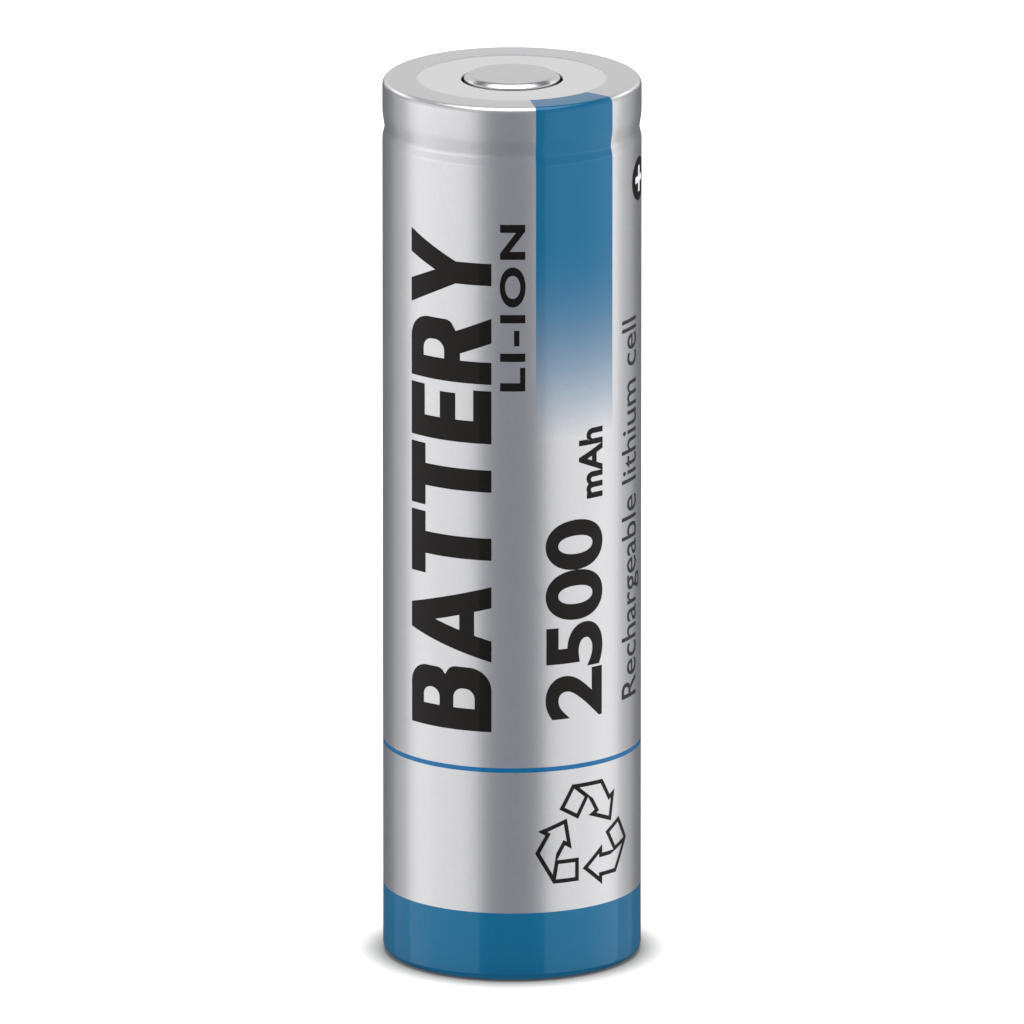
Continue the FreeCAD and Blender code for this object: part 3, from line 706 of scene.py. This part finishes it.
def bent_arrow(size):
    """One arrow of a three-sided loop, bent round its top corner: its tail half and its head half."""
    half, barb, flat = 0.115 * size, 0.085 * size, 0.16 * size
    tail, neck, tip = 0.43 * size, 0.36 * size, 0.6 * size
    top = Vector((0, 0.62 * size))
    down = Vector((0.5, -math.sqrt(0.75)))
    out = Vector((math.sqrt(0.75), 0.5))

    def place(along, across, side=1):
        point = top + down * along + out * across
        return side * point.x, point.y

    notch = (0, top.y - 2 * half)
    crease = place(flat, half, -1)
    tail_half = [notch, place(tail, -half, -1), place(tail, half, -1), crease]
    head_half = [
        notch,
        crease,
        place(flat, half),
        place(neck, half),
        place(neck, half + barb),
        place(tip, 0),
        place(neck, -half - barb),
        place(neck, -half),
    ]
    return tail_half, head_half


def arrow_outline(tail_half, head_half):
    """The two halves joined, without the crease between them."""
    return tail_half[:] + head_half[2:]


def inset_loop(loop, depths):
    """The loop with each side moved inwards by its own depth. Side n runs from point n to the next."""
    points = [Vector(p) for p in loop]
    count = len(points)
    turn = sum(points[n - 1].cross(points[n]) for n in range(count))
    sides = []
    for n in range(count):
        along = (points[(n + 1) % count] - points[n]).normalized()
        inwards = Vector((-along.y, along.x)) * math.copysign(1, turn)
        sides.append((points[n] + inwards * depths[n], along))
    result = []
    for n in range(count):
        (here, along), (before, back) = sides[n], sides[n - 1]
        step = (before - here).cross(back) / along.cross(back)
        result.append(tuple(here + along * step))
    return result


def print_loop_mark(name, angle, height, size, material):
    """Three creased arrows chasing each other round a triangle, drawn in outline."""
    stroke = 0.3 * MM
    tail_half, head_half = bent_arrow(size)
    tail_depths = [stroke] * 3 + [stroke / 2]
    head_depths = [stroke / 2] + [stroke] * (len(head_half) - 1)
    arrow = (
        arrow_outline(tail_half, head_half),
        inset_loop(tail_half, tail_depths),
        inset_loop(head_half, head_depths),
    )
    where = math.radians(angle) * SLEEVE_R
    loops = []
    for k in range(3):
        turn = -2 * math.pi * k / 3
        cosine, sine = math.cos(turn), math.sin(turn)
        for loop in arrow:
            turned = [(x * cosine - y * sine, x * sine + y * cosine) for x, y in loop]
            loops.append([(x + where, y + height) for x, y in turned])
    return print_on_sleeve(name, flat_mesh(shape_curve(loops)), material)


# each word: its text, the angles of its top and baseline, the heights of its two ends in
# millimetres, its ink, how much bolder its letters are drawn, and their spacing
WORDS = {
    "print_kind": ("LI-ION", (-5.4, 6.0), (43.9, 56.2), "black", 0.034, 1.2),
    "print_capacity": ("2500", (15.0, 44.2), (19.3, 34.1), "black", 0.03, 1.0),
    "print_unit": ("mAh", (31.0, 44.2), (35.5, 40.7), "black", 0.03, 1.0),
    "print_note": ("Rechargeable lithium cell", (58.0, 77.5), (19.8, 47.9), "grey", 0.004, 1.0),
    "print_voltage": ("3.7 V", (150.0, 172.0), (22.0, 40.0), "black", 0.024, 1.0),
    "print_energy": ("9.25 Wh", (178.0, 190.0), (22.0, 40.0), "black", 0.014, 1.05),
    "print_title_back": ("BATTERY", (222.0, 246.0), (20.0, 52.0), "grey", 0.012, 1.2),
}


def build_print():
    """All the print: words that read upwards, a loop of arrows, and a disc near each end."""
    inks = {
        "black": ink("ink_black", INK_BLACK, INK_DEEP),
        "grey": ink("ink_grey", INK_GREY, INK_DEEP),
        "white": ink("ink_white", (0.82, 0.82, 0.82), (0.76, 0.76, 0.76)),
    }
    print_word("print_title", heavy_word("BATTERY"), (-50.5, -9.1), (18.6, 55.2), inks["black"])
    for name, (text, angles, heights, shade, weight, spacing) in WORDS.items():
        print_word(name, lettering(text, weight, spacing), angles, heights, inks[shade])
    print_loop_mark("print_loop", 36.0, 10.4 * MM, 7.5 * MM, inks["black"])
    reach, half_stroke = 0.95 * MM, 0.24 * MM
    pair = (inks["black"], inks["white"])
    print_polarity("print_plus", plus_loop(reach, half_stroke), 77.5, 57.8 * MM, pair)
    print_polarity("print_minus", bar_loop(reach, half_stroke), 197.0, 9.0 * MM, pair)


# ---------------------------------------------------------------- metal and paper at the ends


def build_can():
    """The steel can, with its rolled groove, its crimped lip and a coined ring in its base."""
    outer = radius_of("steel_can")
    wall = 0.2 * MM
    low, high = low_of("steel_can"), high_of("steel_can")
    lip = bore_of("steel_can", low=high - wall)
    contact, coin, step = 6.6 * MM, 0.2 * MM, 0.04 * MM
    bead, mouth, floor = 8.05 * MM, 0.65 * MM, 0.45 * MM
    lower_edge, upper_edge, root = 0.3 * MM, 0.8 * MM, 0.35 * MM
    base = low + 0.3 * MM
    outline = rounded(
        (
            (0, low),
            (contact, low, 0.03 * MM),
            (contact + 0.04 * MM, low + step, 0.03 * MM),
            (contact + coin, low + step, 0.03 * MM),
            (contact + coin + 0.04 * MM, low, 0.03 * MM),
            (outer, low, 0.49 * MM),
            (outer, GROOVE - mouth, lower_edge),
            (bead, GROOVE - floor, root),
            (bead, GROOVE + floor, root),
            (outer, GROOVE + mouth, upper_edge),
            (outer, high, 0.38 * MM),
            (lip, high, 0.04 * MM),
            (lip, high - wall, 0.04 * MM),
            (outer - wall, high - wall, 0.18 * MM),
            (outer - wall, GROOVE + mouth + wall, upper_edge - wall),
            (bead - wall, GROOVE + mouth, root + wall),
            (bead - wall, GROOVE - mouth, root + wall),
            (outer - wall, GROOVE - mouth - wall, 0.1 * MM),
            (outer - wall, base, 0.3 * MM),
            (0, base),
        )
    )
    piece = lathe("can", outline)
    plate = nickel("can_nickel", (0.66, 0.645, 0.61), (0.58, 0.565, 0.53), 26000)
    return keep(piece, ["steel_can"], "can_steel", plate)


def build_cap():
    """Pressed positive cap: a crowned button, and four gas vents in the slope below it."""
    top = high_of("positive_cap")
    low = low_of("positive_cap")
    radius = radius_of("positive_cap")
    sheet = 0.3 * MM
    button, slope_foot, rise = 3.45 * MM, 4.75 * MM, 0.65 * MM
    face, crown_foot = button - 0.45 * MM, top - 0.26 * MM
    round_face, round_crown, round_slope = 0.6 * MM, 0.12 * MM, 0.25 * MM
    flange = low + sheet
    outline = rounded(
        (
            (0, top),
            (face, top, round_face),
            (button, crown_foot, round_crown),
            (button, flange + rise, round_slope),
            (slope_foot, flange, round_slope + sheet),
            (radius, flange, 0.03 * MM),
            (radius, low, 0.03 * MM),
            (slope_foot - 0.071 * MM, low, round_slope),
            (button - sheet, flange + rise - 0.185 * MM, round_slope + sheet),
            (button - sheet, crown_foot - 0.173 * MM, 0.04 * MM),
            (face - 0.08 * MM, top - sheet, round_face - sheet),
            (0, top - sheet),
        )
    )
    piece = lathe("cap", outline)
    cut_vents(piece, low, flange + rise)
    plate = nickel("cap_nickel", (0.66, 0.66, 0.665), (0.62, 0.62, 0.625), 22000)
    return keep(piece, ["positive_cap"], "cap_steel", plate)


def cut_vents(piece, low, high):
    """Cut the four rectangular gas vents through the cap's slope."""
    near, far, half = 3.8 * MM, 4.6 * MM, 1.1 * MM
    start, length = low - MM, high - low + 2 * MM
    bm = bmesh.new()
    for k in range(4):
        made = bmesh.ops.create_cube(bm, size=1)["verts"]
        cosine, sine = (1, 0, -1, 0)[k], (0, 1, 0, -1)[k]
        for v in made:
            x = near + (v.co.x + 0.5) * (far - near)
            y = v.co.y * 2 * half
            z = start + (v.co.z + 0.5) * length
            v.co = (x * cosine - y * sine, x * sine + y * cosine, z)
    cutter = finish_mesh("vent_cutter", bm)
    modifier = piece.modifiers.new("vents", "BOOLEAN")
    modifier.operation = "DIFFERENCE"
    modifier.object = cutter
    modifier.solver = "EXACT"
    graph = bpy.context.evaluated_depsgraph_get()
    cut = bpy.data.meshes.new_from_object(piece.evaluated_get(graph))
    piece.modifiers.clear()
    piece.data = cut
    bpy.data.objects.remove(cutter)


def build_washer():
    """Die-cut paper ring, with slightly ragged edges."""
    node = "insulating_washer"
    outline = turned_ring(bore_of(node), radius_of(node), low_of(node), high_of(node), 0.03 * MM)

    def shape(r, z, angle):
        ragged = math.sin(11 * angle + 1.1) + 0.7 * math.sin(29 * angle)
        return r + ragged * 0.006 * MM * (1 if r > 6 * MM else -1), z

    piece = lathe("washer", outline, shape=shape)
    sheet = paper("washer_paper", (0.61, 0.61, 0.605), (0.54, 0.54, 0.535))
    return keep(piece, [node], "washer_paper", sheet)


# ---------------------------------------------------------------- pieces carried over from CAD


def paint_inside():
    """Give every CAD node that stays its own material."""
    aluminium = rolled_metal("disc_aluminium", (0.82, 0.82, 0.83), (0.74, 0.74, 0.75))
    fibre = paper("disc_fibre", (0.40, 0.27, 0.15), (0.30, 0.19, 0.10))
    white_film = plastic("separator_film", (0.86, 0.86, 0.84), (0.80, 0.80, 0.78), (0.3, 0.4))
    materials = {
        "ptc_ring": plastic("fuse_polymer", (0.05, 0.05, 0.05), (0.03, 0.03, 0.03)),
        "vent_disc_rim": aluminium,
        "vent_disc_dish": aluminium,
        "interrupter_plate": aluminium,
        "interrupter_insulator": plastic("holder_plastic", (0.72, 0.71, 0.66), (0.64, 0.63, 0.58)),
        "crimp_gasket": plastic("gasket_plastic", (0.16, 0.16, 0.17), (0.12, 0.12, 0.13)),
        "top_insulator": fibre,
        "bottom_insulator": fibre,
        "positive_tab": rolled_metal("tab_aluminium", (0.83, 0.83, 0.84), (0.76, 0.76, 0.77)),
        "negative_tab": rolled_metal("tab_nickel", (0.66, 0.64, 0.59), (0.58, 0.56, 0.51)),
        "positive_electrode": coating("cathode_coating", (0.045, 0.045, 0.05), (0.02, 0.02, 0.023)),
        "negative_electrode": coating("anode_coating", (0.11, 0.11, 0.12), (0.06, 0.06, 0.065)),
        "inner_separator": white_film,
        "outer_separator": white_film,
        "roll_tape": plastic("roll_tape_film", (0.74, 0.50, 0.12), (0.66, 0.42, 0.09), (0.15, 0.25)),
        "center_pin": rolled_metal("pin_steel", (0.56, 0.56, 0.57), (0.48, 0.48, 0.49)),
    }
    for node, material in materials.items():
        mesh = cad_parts[node].data
        mesh.materials.clear()
        mesh.materials.append(material)


# ---------------------------------------------------------------- floor, light and camera


def plane(name, width, depth):
    """A level rectangle at height 0, round the axis."""
    bm = bmesh.new()
    corners = ((-1, -1), (1, -1), (1, 1), (-1, 1))
    bm.faces.new([bm.verts.new((x * width / 2, y * depth / 2, 0)) for x, y in corners])
    return finish_mesh(name, bm)


def build_floor():
    """A plain pale floor, with a painted contact shadow round the cell. It doesn't show in the cell's
    metal.
    """
    floor = plane("floor", 8.0, 8.0)
    paint = Paint("floor_paint", Specular_IOR_Level=0.1)
    grain = paint.noise(90, 3)
    pale = paint.blend(grain, (0.93, 0.905, 0.87), (0.94, 0.915, 0.88))
    # painted contact shadow: an occlusion node darkens the floor's colour and its glow within 2.6 mm
    # of the cell
    contact = paint.node("ShaderNodeAmbientOcclusion", samples=16)
    contact.inputs["Distance"].default_value = 2.6 * MM
    shade = paint.spread(contact.outputs["AO"], -0.7, 1.0)
    paint.colour(paint.blend(shade, (0.18, 0.175, 0.168), pale))
    paint.roughness(paint.spread(grain, 0.85, 0.95))
    glow = paint.blend(shade, (0.18, 0.176, 0.17), (1.0, 0.985, 0.96))
    paint.link(glow, paint.shader.inputs["Emission Color"])
    paint.shader.inputs["Emission Strength"].default_value = 0.45
    floor.data.materials.append(paint.material)
    floor.visible_glossy = False
    floor.visible_shadow = False


def build_backdrop():
    """A pale dome behind everything, seen only directly."""
    bm = bmesh.new()
    bmesh.ops.create_uvsphere(bm, u_segments=64, v_segments=32, radius=3.9)
    dome = finish_mesh("backdrop", bm)
    material = bpy.data.materials.new("backdrop_light")
    material.use_nodes = True
    nodes = material.node_tree.nodes
    nodes.clear()
    glow = nodes.new("ShaderNodeEmission")
    glow.inputs["Color"].default_value = (1, 1, 1, 1)
    glow.inputs["Strength"].default_value = 1.0
    out = nodes.new("ShaderNodeOutputMaterial")
    material.node_tree.links.new(glow.outputs[0], out.inputs["Surface"])
    dome.data.materials.append(material)
    for way in ("diffuse", "glossy", "transmission", "volume_scatter", "shadow"):
        setattr(dome, f"visible_{way}", False)


LAMP_COLOUR = (1.0, 0.988, 0.965)


def softbox(name, centre, size, radiance, aim):
    """A rectangular light of an even brightness, which faces the point aim."""
    width, tall = size
    data = bpy.data.lights.new(name, "AREA")
    data.shape = "RECTANGLE"
    data.size = width
    data.size_y = tall
    data.energy = radiance * math.pi * width * tall
    data.color = LAMP_COLOUR
    light = bpy.data.objects.new(name, data)
    light.location = centre
    light.rotation_euler = (Vector(aim) - light.location).to_track_quat("-Z", "Y").to_euler()
    light.visible_camera = False
    bpy.context.scene.collection.objects.link(light)


def side_box(name, first, last, distance, low, high, radiance):
    """An upright soft box: first and last are its edges' angles round the cell, from the front."""
    middle = math.radians((first + last) / 2)
    width = 2 * distance * math.tan(math.radians(abs(last - first) / 2))
    centre = around(distance, middle, (low + high) / 2)
    softbox(name, centre, (width, high - low), radiance, (0, 0, centre.z))


def build_light():
    """Soft boxes: upright ones and a thin bar at each side, one over and one behind."""
    bottom, middle, top = -0.36, 0.04, 0.60
    upper_share = 0.8
    for name, side, far in (("left", -1, 104), ("right", 1, 110)):
        panels = ((29, 78, 0.90), (78, far, 1.08), (far, far + 26, 0.32))
        for n, (first, last, radiance) in enumerate(panels):
            span = (side * first, side * last, 0.62)
            side_box(f"{name}_low_{n}", *span, bottom, middle, radiance)
            side_box(f"{name}_high_{n}", *span, middle, top, upper_share * radiance)
        side_box(f"{name}_bar", side * 30, side * 100, 0.56, 0.026, 0.048, 2.8)
        softbox(f"{name}_rear", (side * 0.45, 0.45, 0.42), (0.3, 0.2), 2.2, (0, 0, 0.06))
    softbox("overhead", (0, -0.02, 1.1), (1.0, 1.0), 3.0, (0, 0, 0))
    softbox("back_box", (0, 0.9, 0.40), (1.4, 0.7), 0.68, (0, 0, 0.06))


# how the room's brightness changes with direction: an axis, two places on it, and the brightness
# at each. It dims low down, is pale straight below, where the floor is, and dims behind.
ROOM_RAMPS = (
    ("Z", -0.68, -0.36, 0.42, 1.0),
    ("Z", -0.88, -0.70, 3.6, 1.0),
    ("Y", 0.9, 0.1, 0.45, 1.0),
)


def build_room():
    """The light of the room itself, which the metal shows between the soft boxes."""
    world = bpy.data.worlds.new("room")
    bpy.context.scene.world = world
    world.use_nodes = True
    nodes, links = world.node_tree.nodes, world.node_tree.links
    place = nodes.new("ShaderNodeTexCoord")
    split = nodes.new("ShaderNodeSeparateXYZ")
    links.new(place.outputs["Generated"], split.inputs[0])
    strength = None
    for axis, *values in ROOM_RAMPS:
        level = nodes.new("ShaderNodeMapRange")
        level.interpolation_type = "SMOOTHSTEP"
        links.new(split.outputs[axis], level.inputs["Value"])
        for name, value in zip(("From Min", "From Max", "To Min", "To Max"), values):
            level.inputs[name].default_value = value
        if strength is None:
            strength = level.outputs["Result"]
            continue
        both = nodes.new("ShaderNodeMath")
        both.operation = "MULTIPLY"
        links.new(strength, both.inputs[0])
        links.new(level.outputs["Result"], both.inputs[1])
        strength = both.outputs[0]
    background = nodes["Background"]
    background.inputs["Color"].default_value = (0.230, 0.244, 0.292, 1)
    links.new(strength, background.inputs["Strength"])


def build_camera():
    """A long lens two metres away, looking a little down at the middle of the cell."""
    data = bpy.data.cameras.new("camera")
    data.lens = 1012
    data.sensor_width = 36
    data.clip_start = 0.01
    data.clip_end = 20
    camera = bpy.data.objects.new("camera", data)
    camera.location = (0, -2.0, 0.567)
    aim = Vector((0, 0, high_of("positive_cap") / 2))
    camera.rotation_euler = (aim - camera.location).to_track_quat("-Z", "Y").to_euler()
    bpy.context.scene.collection.objects.link(camera)
    bpy.context.scene.camera = camera


build_camera()
build_sleeve()
build_print()
build_can()
build_cap()
build_washer()
paint_inside()
build_floor()
build_backdrop()
build_light()
build_room()
bpy.context.scene.view_settings.view_transform = "Standard"
